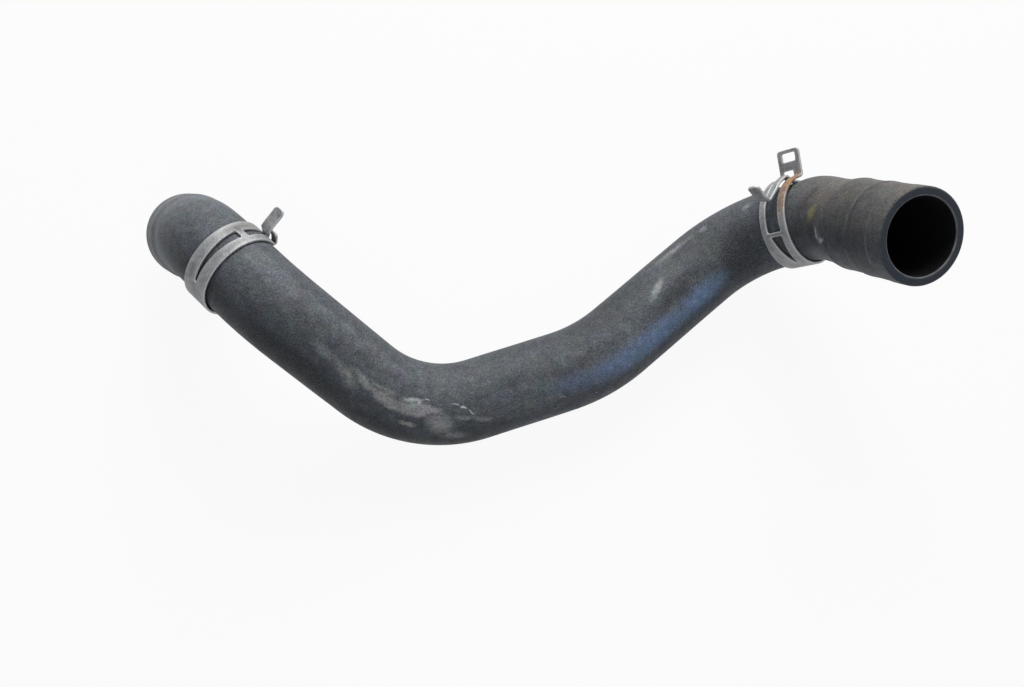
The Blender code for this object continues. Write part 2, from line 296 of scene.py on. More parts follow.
# Places on a clamp are (angle, height above the band's middle surface). Edges are distances from
# the strip's middle line, negative towards the hose's left end.
leftClamp = {
    "name": "left_clamp_band",
    "node": "left_spring_clamp",
    "slot": "left_clamp_steel",
    "run": 1,                    # straight run of the hose that it sits on
    "slide": 0,                  # along the run, from its middle
    "forkTip": (-78.2, 0.0043),
    "forkRoot": (-100.5, 0.0004),
    "rootBend": 0.0010,
    "bandStart": -86,
    "standOff": 0,               # how far the band stands off the hose at its start
    "forkEdges": (-0.0052, 0.0052),
    "window": 0,
    "lowerBar": 0,
    "slotEdges": ((-0.0004, 0.0013), (-0.0014, 0.0033)),
    "bridge": (-37, -28),
    "taperEdges": ((-0.0022, 0.0026), (-0.0003, 0.0009)),
    "slotTip": 57,
    "neckEdges": (-0.0006, 0.0018),
    "neckRise": 0,
    "foot": -95.5,
    "knee": (-72, 0.0012),
    "tip": (-69.5, 0.0153),
    "curl": 0.0002,
    "flare": (-0.0014, 0.0004),  # where the tang widens, from the end of the knee's bend
    "looseness": 0.0006, "looseAt": 95,      # how far it stands off at the front
}
rightClamp = {
    "name": "right_clamp_band",
    "node": "right_spring_clamp",
    "slot": "right_clamp_steel",
    "run": 5,
    "slide": -0.0005,
    "forkTip": (-58, 0.0168),
    "forkRoot": (-58, 0.0026),
    "rootBend": 0.0018,
    "bandStart": -50.5,
    "standOff": 0.0019,
    "forkEdges": (-0.0057, 0.0074),
    "window": 0.0044,
    "lowerBar": 0.0046,
    "slotEdges": ((-0.0036, 0.0024), (-0.0040, 0.0036)),
    "bridge": (41, 47),
    "taperEdges": ((-0.0030, 0.0033), (0.0013, 0.0023)),
    "slotTip": 97,
    "neckEdges": (-0.0006, 0.0030),
    "neckRise": 0.0040,
    "foot": -12,
    "knee": (6, 0.0066),
    "tip": (2, 0.0185),
    "curl": 0.0004,
    "flare": (-0.0008, 0.0022),
    "looseness": 0.0002, "looseAt": 120,
}
strip = {
    "width": 0.015,
    "thickness": 0.0013,
    "gap": 0.0003,               # to the hose
    "forkSide": 0.0027,          # beside the fork's window
    "topBar": 0.0019,
    "bendRadius": 0.0018,
    "forkCorner": 0.0018,
    "tipCorner": 0.0024,
    "headHalf": 0.0032,          # the tang is wider than the neck below it
    "holeCorner": 0.0008,
    "edge": 0.00040,             # rounding of the cut edges
    "shoulder": 45,              # degrees over which the band narrows to its neck
    "tongueLead": 8,             # the neck begins this far before the fork
    "liftStart": 4, "liftAngle": 14,   # the neck's rise: where it starts past the fork, over what angle
    "settle": 130,               # the stand off is gone after this angle
    "looseSpread": 45,
    "edgePower": 2.5,            # shape of the cut edges' rounding
    # Reach of the light cut edges: worn steel with a painted highlight
    "wearAndGlintReach": 0.0007,
    "rootBlend": 0.003,          # from the fork's width to the band's
    "pathStep": 0.0002, "angleStep": 0.5,
    "rowStep": 0.0008,
    "besideEnds": (0, 0.00006, 0.00016, 0.00032, 0.00055, 0.0009),   # closer rows beside an end
    "railSteps": (0, 0.00005, 0.00014, 0.00028, 0.0005), "fullRail": 0.0014,
    "middleShares": (0.12, 0.3, 0.5, 0.7, 0.88),
}


# Rows of the wall's closed profile as distance and depth below the skin: along the skin,
# round the right rim, back along the bore and round the left rim
def wallRows():
    rounding = hose["rimRounding"]
    wall = hose["wall"]
    leftFine, rightFine = hose["fineSpans"]
    leftRows, middleRows, rightRows, boreRows = hose["rowCounts"]
    skin = np.r_[np.linspace(rounding, leftFine, leftRows)[:-1],
                 np.linspace(leftFine, hoseLength - rightFine, middleRows)[:-1],
                 np.linspace(hoseLength - rightFine, hoseLength - rounding, rightRows)]
    bore = np.linspace(hoseLength - rounding, rounding, boreRows)
    turn = np.linspace(0, np.pi / 2, 7)[1:]
    face = np.linspace(rounding, wall - rounding, 6)[1:-1]
    outer = rounding * (1 - np.cos(turn))
    end = hoseLength - rounding
    rows = [(skin, 0 * skin), (end + rounding * np.sin(turn), outer), (hoseLength + 0 * face, face),
            (end + rounding * np.cos(turn), wall - rounding + rounding * np.sin(turn)),
            (bore[1:-1], wall + 0 * bore[1:-1]),
            (rounding - rounding * np.sin(turn), wall - outer), (0 * face, face[::-1]),
            (rounding - rounding * np.cos(turn), rounding - rounding * np.sin(turn))]
    distance = np.concatenate([row[0] for row in rows])
    depth = np.concatenate([row[1] for row in rows])
    return distance[:-1], depth[:-1]


# A tube carried along the middle line: point = middle + radius (cos a up + sin a front), with the
# skin's detail fading out through the wall. Rows and sides both close on themselves, and the side
# seam lies underneath.
def makeHose(material):
    distance, depth = wallRows()
    sides = hose["sides"]
    angle = np.linspace(-np.pi, np.pi, sides + 1)
    middle, direction, up, front = carriedFrame(hoseLine, distance)
    s = distance[:, None]
    a = angle[None, :-1]
    fromBore = 1 - depth[:, None] / hose["wall"]
    radius = plainRadius(s) - depth[:, None] + (skinDetail(s, a) - hose["inset"]) * fromBore
    points = (middle[:, None] + radius[..., None]
              * (np.cos(a)[..., None] * up[:, None] + np.sin(a)[..., None] * front[:, None]))
    rows = len(distance)
    i, j = np.meshgrid(np.arange(rows), np.arange(sides), indexing="ij")
    nextRow = (i + 1) % rows
    nextSide = (j + 1) % sides
    quads = np.stack([i * sides + j, i * sides + nextSide,
                      nextRow * sides + nextSide, nextRow * sides + j], -1)
    flat = np.stack([np.stack([distance[i], angle[j] * hose["arcRadius"]], -1),
                     np.stack([distance[i], angle[j + 1] * hose["arcRadius"]], -1),
                     np.stack([distance[nextRow], angle[j + 1] * hose["arcRadius"]], -1),
                     np.stack([distance[nextRow], angle[j] * hose["arcRadius"]], -1)], 2)
    made = makeSurface("hose_body", points.reshape(-1, 3), quads.reshape(-1, 4), flat, material)
    inward = made.data.attributes.new("inward", "FLOAT", "POINT")
    inward.data.foreach_set("value", np.repeat(depth / hose["wall"], sides).astype(np.float32))
    return made


rubberLook = {
    "dark": (0.021, 0.024, 0.030, 1),
    "mid": (0.072, 0.083, 0.100, 1),
    "dust": (0.172, 0.190, 0.210, 1),
    "brown": (0.118, 0.090, 0.058, 1),
    # Near black for the darker patches: partly painted shade, partly dark dirt
    "shadeAndDirtDark": (0.007, 0.008, 0.011, 1),
    # Near black: the rubber's own dark colour deepened by painted shade inside the bore
    "bore": (0.006, 0.006, 0.007, 1),
    "rim": (0.036, 0.045, 0.060, 1),
    "pale": (0.42, 0.43, 0.425, 1),
    "white": (0.75, 0.77, 0.77, 1),
    # Painted reflection: a blue sheen painted into the colour
    "blueSheen": (0.20, 0.30, 0.50, 1),
    "yellow": (0.34, 0.29, 0.11, 1),
    # Noises: scale, the levels that give 0 and 1, detail
    "clouds": (30.0, 0.30, 0.70),
    "blotch": (170.0, 0.32, 0.70),
    "grain": (1000.0, 0.28, 0.72, 3.0),
    "fine": (2600.0, 0.32, 0.68, 2.0),
    "streaks": (1.0, 0.34, 0.66),
    "streakScale": (90.0, 520.0, 1.0),
    "ragged": (240.0, 0.0036),        # scale and reach of the marks' worn edges
    "tints": ((110.0, 0.22), (420.0, 0.16)),   # scale and share
    "tones": ((240.0, 0.7), (1300.0, 1.5)),    # scale and depth
    # Shares: gain and offset on a noise
    "topDustShare": (0.30, 0.24),
    "dustShare": (0.4, 0.5),
    "brownShare": (0.70, 0.26),
    "smearShare": (0.6, 0.72),
    "blueSheenShare": (0.35, 0.70),
    "innerEdgeShare": (0.4, 0.15),
    # Flat map ramps in metres, from 0 to 1
    "topDustSpan": (0.026, 0.004),
    "brownLength": (0.430, 0.456),
    "brownSpan": (0.032, 0.002),
    # Marks on the flat map in mm: along, across, half length, half width, turn, strength, softness
    "dusts": [
        (110, -8, 70, 10, 0, 0.80, 0.8), (150, -8, 60, 10, 0, 0.95, 0.8), (205, 6, 40, 14, 6, 0.60, 0.7),
        (250, 15, 50, 13, 3, 1.05, 0.7), (305, 13, 56, 14, 0, 0.95, 0.7), (30, 0, 50, 70, 0, 0.88, 0.5),
        (352, 14, 34, 11, 0, 0.55, 1.0),
    ],
    "smears": [
        (165, 6.6, 14, 3.0, 10, 0.85, 0.9), (179, 9.6, 15, 3.8, 13, 1.05, 0.8),
        (192, 10.4, 12, 5.0, 4, 1.20, 0.7), (201, 10.2, 9, 3.2, 8, 1.05, 0.8),
        (206, 17.2, 10.0, 7.4, 28, 1.00, 0.8), (209, 18.5, 8, 3.4, 10, 0.60, 1.0),
        (192, 18.7, 5.0, 2.1, 8, 1.05, 0.8), (140, 7, 11, 4.0, 0, 0.50, 1.0),
        (154, 8.5, 12, 4.4, 10, 0.70, 1.0), (217.5, 14.9, 7.0, 2.1, 14, 0.60, 0.9),
        (226.5, 18.1, 7.5, 2.0, 26, 0.60, 0.9), (334, -2.7, 9.5, 2.8, -25, 0.70, 0.7),
        (378, -13.4, 4, 3, 0, 0.45, 1.0), (407, -8, 4, 3.2, 0, 0.50, 1.0),
        (357, -15.4, 20, 3.0, 3, 0.45, 1.0), (467.5, 28, 7, 5, 50, 0.50, 1.0),
        (172, 4.4, 11, 2.2, 8, 0.65, 1.0), (158, 10.5, 10, 5, 18, 0.60, 1.0),
        (176, 5.5, 10, 3.4, 10, 0.55, 1.0), (213, 25, 9, 4.4, 12, 0.60, 1.0),
        (470.0, 30.4, 3.4, 3.0, 0, 0.75, 0.8),
    ],
    "scratches": [
        (190.5, 5.7, 8.5, 1.5, -4, 0.75, 0.9), (194.5, 6.9, 1.8, 1.2, 0, 0.95, 0.8),
        (198, 4.7, 2.6, 0.6, 4, 0.9, 0.8), (213.5, 7.4, 3.2, 0.55, 12, 0.75, 0.8),
        (217.8, 9.2, 3.0, 0.60, 30, 0.95, 0.8), (221.8, 12.6, 3.4, 0.60, 50, 1.0, 0.8),
        (267, 19.4, 2.2, 0.6, 40, 0.65, 0.9), (260.5, 17.8, 1.4, 0.45, 20, 0.55, 0.9),
        (263, 26.5, 2.4, 0.35, -20, 0.4, 0.9), (282, 25.0, 0.5, 0.5, 0, 0.8, 0.8),
        (466.0, 27.6, 5.6, 1.5, 66, 0.80, 0.9), (470.6, 30.6, 4.4, 1.6, -37, 0.85, 0.9),
    ],
    # Painted reflection: blue sheen ovals on the lower front side
    "blueSheenMarks": [
        (276, 14, 22, 7.0, 4, 0.50, 1.0), (312, 16.2, 56, 9.0, 2, 0.95, 0.8),
        (350, 16, 26, 9.0, 0, 1.05, 0.9),
    ],
    "yellows": [(459.8, 18.4, 4.2, 7.4, 14, 0.65, 1.0)],
    # Darker patches: painted shade on the lower and upper sides, and dark dirt blotches
    "shadeAndDirtPatches": [
        (88, 22, 26, 11, 0, 0.70, 0.7), (134, 23.5, 40, 12, 3, 0.85, 0.5), (180, 29, 26, 12, 8, 0.75, 0.5),
        (215, 33, 30, 11, 4, 0.70, 0.6), (390, 10, 38, 25, 0, 0.72, 0.8), (181, 21, 12, 3.0, 14, 0.50, 1.0),
        (492, 8, 32, 30, 0, 0.50, 1.0), (300, -14, 66, 17, 0, 0.34, 0.8), (368, -5, 36, 18, 0, 0.50, 0.9),
        (343, 3.5, 28, 7, -10, 0.60, 0.8), (452, 10, 4, 15, 8, 0.55, 1.0), (463, 27, 9, 7, 20, 0.60, 1.0),
        (477, 12, 4.5, 16, -8, 0.45, 1.0), (486, 27, 4, 11, 10, 0.55, 1.0),
    ],
    # Lines of an old band in mm: distance, half width, and the part of the round
    # Painted shade in the creases
    "creaseShades": ((493.2, 0.5, -9, 20), (499, 0.4, 20, 38)),
    "paleLines": ((491.6, 0.5, 8, 22), (507.6, 0.7, 16, 38)),
    "leftRing": (24.6, 27.4, 1.2),    # start, end, edge
}


# Rubber: cloudy slate grey, dusted above, with smears, scratches, a painted reflection as a blue
# sheen, and a fine grain; each is laid over the last one by its own share
def makeRubber():
    material, tree, shader, add = startMaterial("slateRubber")
    look = rubberLook
    solid = add("TexCoord", {}).outputs["Object"]
    flat = add("UVMap", {}, uv_map="flatMap").outputs[0]
    parts = add("SeparateXYZ", {"Vector": flat})
    distance, across = parts.outputs[0], parts.outputs[1]
    depth = add("Attribute", {}, attribute_name="inward").outputs["Fac"]
    ragged = raggedPlace(add, solid, flat, *look["ragged"])

    clouds = speckle(add, solid, *look["clouds"])
    blotch = speckle(add, solid, *look["blotch"])
    grain = speckle(add, solid, *look["grain"])
    fine = speckle(add, solid, *look["fine"])
    color = mixColor(add, clouds, look["dark"], look["mid"])
    color = mixColor(add, calc(add, "MULTIPLY", blotch, 0.35), color, look["mid"])
    fromTop = calc(add, "ABSOLUTE", calc(add, "ADD", across, 0.003))
    dust = scaled(add, blotch, *look["topDustShare"])
    dust = calc(add, "MULTIPLY", dust, ramp(add, fromTop, *look["topDustSpan"]))
    patches = joinedMarks(add, ragged, look["dusts"])
    patches = calc(add, "MULTIPLY", patches, scaled(add, blotch, *look["dustShare"]))
    color = mixColor(add, calc(add, "MAXIMUM", dust, patches), color, look["dust"])

    # The right end is dusty brown
    brown = ramp(add, distance, *look["brownLength"])
    brown = calc(add, "MULTIPLY", brown, ramp(add, across, *look["brownSpan"]))
    brown = calc(add, "MULTIPLY", brown, scaled(add, blotch, *look["brownShare"]))
    color = mixColor(add, brown, color, look["brown"])

    # Smears are broken up by grain and by streaks that run along the hose
    stretched = add("Mapping", {"Vector": ragged, "Scale": look["streakScale"]}).outputs[0]
    streaks = speckle(add, stretched, *look["streaks"])
    broken = calc(add, "ADD", calc(add, "MULTIPLY", grain, 0.40), calc(add, "MULTIPLY", streaks, 0.60))
    marks = joinedMarks(add, ragged, look["smears"])
    marks = calc(add, "MULTIPLY", marks, scaled(add, broken, *look["smearShare"]))
    # Darker patches, partly painted shade and partly dark dirt
    shadeAndDirtPatches = joinedMarks(add, ragged, look["shadeAndDirtPatches"])
    # Painted reflection: the blue sheen ovals, laid on below and broken up like the smears
    blueSheenMarks = joinedMarks(add, ragged, look["blueSheenMarks"])
    color = mixColor(add, shadeAndDirtPatches, color, look["shadeAndDirtDark"])
    blueSheen = calc(add, "MULTIPLY", blueSheenMarks, scaled(add, broken, *look["blueSheenShare"]))
    color = mixColor(add, blueSheen, color, look["blueSheen"])
    color = mixColor(add, marks, color, look["pale"])
    color = mixColor(add, joinedMarks(add, ragged, look["yellows"]), color, look["yellow"])
    scratches = joinedMarks(add, ragged, look["scratches"])
    scratches = calc(add, "MULTIPLY", scratches, calc(add, "ADD", broken, 0.45))
    color = mixColor(add, scratches, color, look["white"])

    # Old band imprints: painted shade along the creases and pale lines, each over its own part of the round
    def arcLine(at, halfWidth, start, end):
        line = ringBand(add, distance, at - halfWidth, at + halfWidth, 0.5)
        return calc(add, "MULTIPLY", line, ringBand(add, across, start, end, 3.0))

    creaseShades = calc(add, "MAXIMUM", *[arcLine(*line) for line in look["creaseShades"]])
    paleLines = calc(add, "MAXIMUM", *[arcLine(*line) for line in look["paleLines"]])
    paleLines = calc(add, "MAXIMUM", paleLines, ringBand(add, distance, *look["leftRing"]))
    # Painted shade in the creases, in the bore's near black
    color = mixColor(add, calc(add, "MULTIPLY", creaseShades, 0.55), color, look["bore"])
    paleLines = calc(add, "MULTIPLY", paleLines, calc(add, "MULTIPLY", blotch, 0.45))
    color = mixColor(add, paleLines, color, look["pale"])

    # Tinted mottling, then the fine moulded grain and dust grains
    for scale, share in look["tints"]:
        color = mixColor(add, share, color, noise(add, solid, scale).outputs["Color"], "SOFT_LIGHT")
    for scale, contrast in look["tones"]:
        tone = scaled(add, noise(add, solid, scale).outputs[0], contrast, 0.5 - contrast / 2)
        color = mixColor(add, 1.0, color, tone, "SOFT_LIGHT")
    color = mixColor(add, calc(add, "MULTIPLY", grain, 0.42), color, look["dark"])
    color = mixColor(add, calc(add, "MULTIPLY", calc(add, "POWER", fine, 2.5), 0.25), color, look["pale"])

    # By depth through the wall: the rim's face, its paler inner edge, and the bore, painted near black as
    # shade over its dark rubber
    rim = ramp(add, depth, 0.05, 0.22)
    color = mixColor(add, calc(add, "MULTIPLY", rim, 0.85), color, look["rim"])
    innerEdge = calc(add, "MULTIPLY", ramp(add, depth, 0.78, 0.90), ramp(add, depth, 0.999, 0.95))
    innerEdge = calc(add, "MULTIPLY", innerEdge, scaled(add, blotch, *look["innerEdgeShare"]))
    color = mixColor(add, innerEdge, color, look["pale"])
    color = mixColor(add, ramp(add, depth, 0.97, 0.999), color, look["bore"])
    tree.links.new(color, shader.inputs["Base Color"])

    rough = scaled(add, blotch, 0.14, 0.50)
    rough = calc(add, "ADD", rough, calc(add, "MULTIPLY", marks, 0.20))
    # A little smoother where the blue sheen is painted
    rough = calc(add, "SUBTRACT", rough, calc(add, "MULTIPLY", blueSheenMarks, 0.08))
    tree.links.new(rough, shader.inputs["Roughness"])
    height = calc(add, "ADD", calc(add, "MULTIPLY", grain, 0.9), calc(add, "MULTIPLY", blotch, 0.8))
    height = calc(add, "ADD", height, calc(add, "MULTIPLY", fine, 0.5))
    bump = add("Bump", {"Height": height, "Strength": 0.45, "Distance": 0.00016})
    tree.links.new(bump.outputs[0], shader.inputs["Normal"])
    shader.inputs["Specular IOR Level"].default_value = 0.16
    return material


hoseBody = makeHose(makeRubber())
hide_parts("coolant_hose")


# Side view of a clamp: X to the front and Y up from the hose's middle line
def polar(angle, radius):
    angle = np.radians(angle)
    return np.stack([radius * np.sin(angle), radius * np.cos(angle), 0 * angle], -1)


# Path of the strip in the side view: down the fork's plate, round its root, around the hose and
# along the tongue to its tip. Gives dense points, their distance s, the band's angles and their
# distances, and where the fork's root and the tongue's knee bend end.
def stripPath(clamp, radius):
    start = clamp["bandStart"]
    last = clamp["foot"] + 360
    fork = clamp["forkRoot"][0] if clamp["standOff"] else start
    liftStart = min(last, fork + strip["liftStart"] + 360)

    # radius + stand off x (1 - ease(angle from the start / settle)) + neck rise + a loose bell
    def bandRadius(angle):
        lift = clamp["standOff"] * (1 - ease((angle - start) / strip["settle"]))
        lift = lift + clamp["neckRise"] * ease((angle - liftStart) / strip["liftAngle"])
        return radius + lift + clamp["looseness"] * bell(angle - clamp["looseAt"], strip["looseSpread"])

    def at(place):
        return polar(place[0], radius + place[1])

    root = roundedLine([at(clamp["forkTip"]), at(clamp["forkRoot"]), polar(start, bandRadius(start))],
                       [clamp["rootBend"]])
    rootPoints = alongLine(root, np.arange(0, root["cuts"][-1], strip["pathStep"]))[0]
    angles = np.arange(start, last, strip["angleStep"])
    bandPoints = polar(angles, bandRadius(angles))
    rise = roundedLine([polar(last, bandRadius(last)), at(clamp["knee"]), at(clamp["tip"])],
                       [strip["bendRadius"]])
    riseS = np.arange(0, rise["cuts"][-1], strip["pathStep"])
    risePoints = alongLine(rise, riseS)[0]
    # The tang curls slightly: it leans by curl x sin(2 pi height) over its height
    height = np.clip((riseS - rise["cuts"][2]) / (rise["cuts"][3] - rise["cuts"][2]), 0, 1)
    lean = np.radians(clamp["tip"][0])
    side = np.array([np.cos(lean), -np.sin(lean), 0])
    risePoints = risePoints + (clamp["curl"] * np.sin(2 * np.pi * height))[:, None] * side
    points = np.concatenate([rootPoints, bandPoints, risePoints, [at(clamp["tip"])]])
    s = np.r_[0, np.cumsum(np.linalg.norm(np.diff(points, axis=0), axis=1))]
    bandS = s[len(rootPoints):len(rootPoints) + len(angles)]
    kneeEnd = s[len(rootPoints) + len(angles)] + rise["cuts"][2]
    return points, s, angles, bandS, root["cuts"][2], kneeEnd


# How far an edge has stepped in at a distance from a rounded corner's end: r - sqrt(r r - (r - x)^2)
def cornerDrop(x, radius):
    x = np.clip(x, 0, radius)
    return radius - np.sqrt(np.maximum(radius ** 2 - (radius - x) ** 2, 0))


# Flat layout of the strip, then bent along its path. Across each row lie a rail, a middle and a
# rail; the middle is left out at each hole. Half thickness falls to nothing at every edge:
# h = T/2 (1 - (1 - d/e)^p)^(1/p), with d the distance to the nearest edge and p the edge power.
def makeClamp(clamp, material):
    distance = clampDistance(clamp)
    middle, direction, up, front = [v[0] for v in carriedFrame(hoseLine, np.array([distance]))]
    half = strip["width"] / 2
    thick = strip["thickness"] / 2
    radius = bodyRadius(distance - clamp["slide"]) + strip["gap"] + thick
    path, pathS, angles, bandS, rootS, kneeEnd = stripPath(clamp, radius)
    total = pathS[-1]
    last = clamp["foot"] + 360
    fork = clamp["forkRoot"][0] if clamp["standOff"] else clamp["bandStart"]
    narrow = min(last, fork - strip["tongueLead"] + 360)
    forkLow, forkHigh = clamp["forkEdges"]
    neckLow, neckHigh = clamp["neckEdges"]
    flareStart, flareEnd = kneeEnd + clamp["flare"][0], kneeEnd + clamp["flare"][1]

    def atAngle(angle):
        return float(np.interp(angle, angles, bandS))

    # Holes: start, end, edges at the start, edges at the end, corner radius at both ends
    corner = strip["holeCorner"]
    slotStart = strip["topBar"]
    holes = []
    if clamp["window"]:
        window = (forkLow + strip["forkSide"], forkHigh - strip["forkSide"])
        holes.append((slotStart, slotStart + clamp["window"], window, window, corner, corner))
        slotStart += clamp["window"] + clamp["lowerBar"]
    bridgeStart, bridgeEnd = atAngle(clamp["bridge"][0]), atAngle(clamp["bridge"][1])
    holes.append((slotStart, bridgeStart, *clamp["slotEdges"], corner, corner))
    wide, tip = clamp["taperEdges"]
    holes.append((bridgeEnd, atAngle(clamp["slotTip"]), wide, tip, corner, (tip[1] - tip[0]) / 2 - 0.0001))

    # Rows: even ones, with more beside each hole's end, both tips and the tang's flare
    beside = np.array(strip["besideEnds"])
    ends = [hole[k] for hole in holes for k in (0, 1)] + [flareStart, flareEnd]
    tips = [beside * 2, beside * 2 + 0.0012, total - beside * 2, total - beside * 2 - 0.0014]
    rows = np.concatenate([np.arange(0, total, strip["rowStep"])] + [end + beside for end in ends]
                          + [end - beside for end in ends] + tips)
    rows = np.unique(np.round(rows[(rows >= 0) & (rows <= total)], 6))
    exact = np.round(np.r_[ends, 0, total], 6)
    keep = np.r_[True, np.diff(rows) > 0.00004] | np.isin(rows, exact)
    rows = rows[keep]

    # Outline, and the holes' edges with rounded corners; between holes the edges run on evenly
    outlineS = [0, rootS, rootS + strip["rootBlend"], atAngle(narrow - strip["shoulder"]), atAngle(narrow),
                flareStart, flareEnd, total]
    corners = cornerDrop(rows, strip["forkCorner"]) + cornerDrop(total - rows, strip["tipCorner"])
    outer = []
    for sign, forkEdge, neckEdge in ((-1, forkLow, neckLow), (1, forkHigh, neckHigh)):
        head = sign * strip["headHalf"]
        keys = [forkEdge, forkEdge, sign * half, sign * half, neckEdge, neckEdge, head, head]
        outer.append(np.interp(rows, outlineS, keys) - sign * corners)
    low, high = outer
    centre = (low + high) / 2
    keyS, keyLow, keyHigh = [0], [0.4 * forkLow], [0.4 * forkHigh]
    openRow = np.zeros(len(rows), bool)
    for start, end, startEdges, endEdges, startCorner, endCorner in holes:
        inside = (rows >= start - 1e-7) & (rows <= end + 1e-7)
        at = rows[inside]
        drop = cornerDrop(at - start, startCorner) + cornerDrop(end - at, endCorner)
        keyS.extend(at)
        keyLow.extend(np.interp(at, [start, end], [startEdges[0], endEdges[0]]) + drop)
        keyHigh.extend(np.interp(at, [start, end], [startEdges[1], endEdges[1]]) - drop)
        openRow |= inside & (rows < end - 1e-7)
    keyS += [atAngle(narrow), total]
    keyLow += [0.7 * neckLow + 0.3 * neckHigh, -0.3 * strip["headHalf"]]
    keyHigh += [0.3 * neckLow + 0.7 * neckHigh, 0.3 * strip["headHalf"]]
    # The middle keeps within 0.8 of the strip's width
    holeLow = np.maximum(np.interp(rows, keyS, keyLow), centre + 0.8 * (low - centre))
    holeHigh = np.minimum(np.interp(rows, keyS, keyHigh), centre + 0.8 * (high - centre))

    # Columns: close together beside a cut edge
    def railColumns(near, far):
        width = (far - near)[:, None]
        steps = np.array(strip["railSteps"])[None] * np.minimum(1, width / strip["fullRail"])
        return np.concatenate([near[:, None] + steps, near[:, None] + width / 2,
                               far[:, None] - steps[:, ::-1]], 1)

    left = railColumns(low, holeLow)
    right = railColumns(holeHigh, high)
    shares = np.array(strip["middleShares"])[None]
    inner = holeLow[:, None] + (holeHigh - holeLow)[:, None] * shares
    across = np.concatenate([left, inner, right], 1)
    columns = across.shape[1]
    railCount = left.shape[1]

    # Which cells are steel, and which of their sides are cut edges
    steel = np.ones((len(rows) - 1, columns - 1), bool)
    steel[openRow[:-1], railCount - 1:columns - railCount] = False
    padded = np.pad(steel, 1)
    grid = np.arange(len(rows) * columns).reshape(len(rows), columns)
    rowEdge = padded[:-1, 1:-1] != padded[1:, 1:-1]
    columnEdge = padded[1:-1, :-1] != padded[1:-1, 1:]
    ri, rj = np.nonzero(rowEdge)
    ci, cj = np.nonzero(columnEdge)
    edges = np.concatenate([np.stack([grid[ri, rj], grid[ri, rj + 1]], 1),
                            np.stack([grid[ci, cj], grid[ci + 1, cj]], 1)])
    place = np.stack([np.repeat(rows, columns), across.ravel()], 1)

    # Distance from every point to the nearest cut edge
    start, along = place[edges[:, 0]], place[edges[:, 1]] - place[edges[:, 0]]
    lengthSquared = np.maximum((along ** 2).sum(1), 1e-18)
    reach = place[:, None] - start[None]
    share = np.clip((reach * along[None]).sum(-1) / lengthSquared, 0, 1)
    apart = np.sqrt(((reach - share[..., None] * along[None]) ** 2).sum(-1)).min(1)
    onEdge = np.zeros(len(place), bool)
    onEdge[edges.ravel()] = True
    apart[onEdge] = 0
    power = strip["edgePower"]
    height = thick * (1 - (1 - np.clip(apart / strip["edge"], 0, 1)) ** power) ** (1 / power)

    # Bend: side view point and its normal at each row, from the dense path
    slope = np.gradient(path, pathS, axis=0)
    slope /= np.linalg.norm(slope, axis=1)[:, None]
    bent = np.stack([np.interp(rows, pathS, path[:, k]) for k in (0, 1)], 1)
    lean = np.stack([np.interp(rows, pathS, slope[:, k]) for k in (0, 1)], 1)
    normal = np.stack([-lean[:, 1], lean[:, 0]], 1)
    normal /= np.linalg.norm(normal, axis=1)[:, None]
    bent = np.repeat(bent, columns, 0)
    normal = np.repeat(normal, columns, 0)

    def placed(sign):
        flat = bent + normal * (sign * height)[:, None]
        return middle + flat[:, :1] * front + flat[:, 1:] * up + place[:, 1:] * direction

    points = np.concatenate([placed(1), placed(-1)])
    i, j = np.nonzero(steel)
    cell = np.stack([grid[i, j], grid[i, j + 1], grid[i + 1, j + 1], grid[i + 1, j]], 1)
    under = np.where(onEdge, np.arange(len(place)), np.arange(len(place)) + len(place))
    quads = np.concatenate([cell[:, ::-1], under[cell]])
    flatMap = np.concatenate([place[cell[:, ::-1]], place[cell]])
    used, quads = np.unique(quads, return_inverse=True)
    made = makeSurface(clamp["name"], points[used], quads.reshape(-1, 4), flatMap, material)
    # 1 on a cut edge, falling to 0 over its reach: bare worn steel with a painted highlight
    wearAndGlint = made.data.attributes.new("wearAndGlint", "FLOAT", "POINT")
    wearAndGlint.data.foreach_set("value", np.tile(1 - ease(apart / strip["wearAndGlintReach"]), 2)[used].astype(np.float32))
    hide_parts(clamp["node"])
    return made


zincLook = {
    "bright": (0.37, 0.38, 0.40, 1),
    "dull": (0.16, 0.165, 0.175, 1),
    "chalk": (0.46, 0.46, 0.45, 1),
    "grime": (0.085, 0.076, 0.062, 1),
    # Cut edges: worn bare steel with a painted highlight
    "edge": (0.62, 0.62, 0.63, 1),
    "rust": (0.23, 0.070, 0.030, 1),
    "rustPale": (0.40, 0.27, 0.09, 1),
    # Noises, as in the rubber
    "mottle": (380.0, 0.30, 0.70),
    "patch": (130.0, 0.42, 0.66),
    "grain": (1800.0, 0.30, 0.70, 2.0),
    "rustPatch": (450.0, 0.40, 0.72),
    "ragged": (500.0, 0.0035),
    "stainShare": (0.6, 0.4),
    "rustShare": (0.4, 0.6),
}
# Marks on each strip's flat map, as on the rubber: from the fork's tip, across from the middle
leftZinc = {
    "name": "chalkyZinc",
    "chalkShare": 0.48,
    "stains": [(12, 0, 14, 9, 0, 0.70, 1.0), (27, -3, 16, 5, 0, 0.75, 1.0), (118, 1, 8, 4, 0, 0.5, 1.0),
               (46, 3, 7, 4, 0, 0.45, 1.0), (58, -4, 5, 3, 0, 0.40, 1.0), (36, 5, 6, 2.5, 0, 0.35, 1.0)],
    "rusts": [(13, 4.5, 6, 2.0, 0, 0.22, 1.0)],
}
rightZinc = {
    "name": "rustedZinc",
    "chalkShare": 0.40,
    "stains": [(9, -4, 8, 2.5, 0, 0.30, 1.0), (30, -5.5, 8, 1.6, 0, 0.25, 1.0), (50, 2, 6, 5, 0, 0.25, 1.0)],
    "rusts": [(25, 5.9, 15, 4.2, 0, 1.0, 0.6), (38, 5.6, 11, 3.6, 0, 0.8, 0.9),
              (13, 5.0, 5, 2.4, 0, 0.4, 1.0)],
}
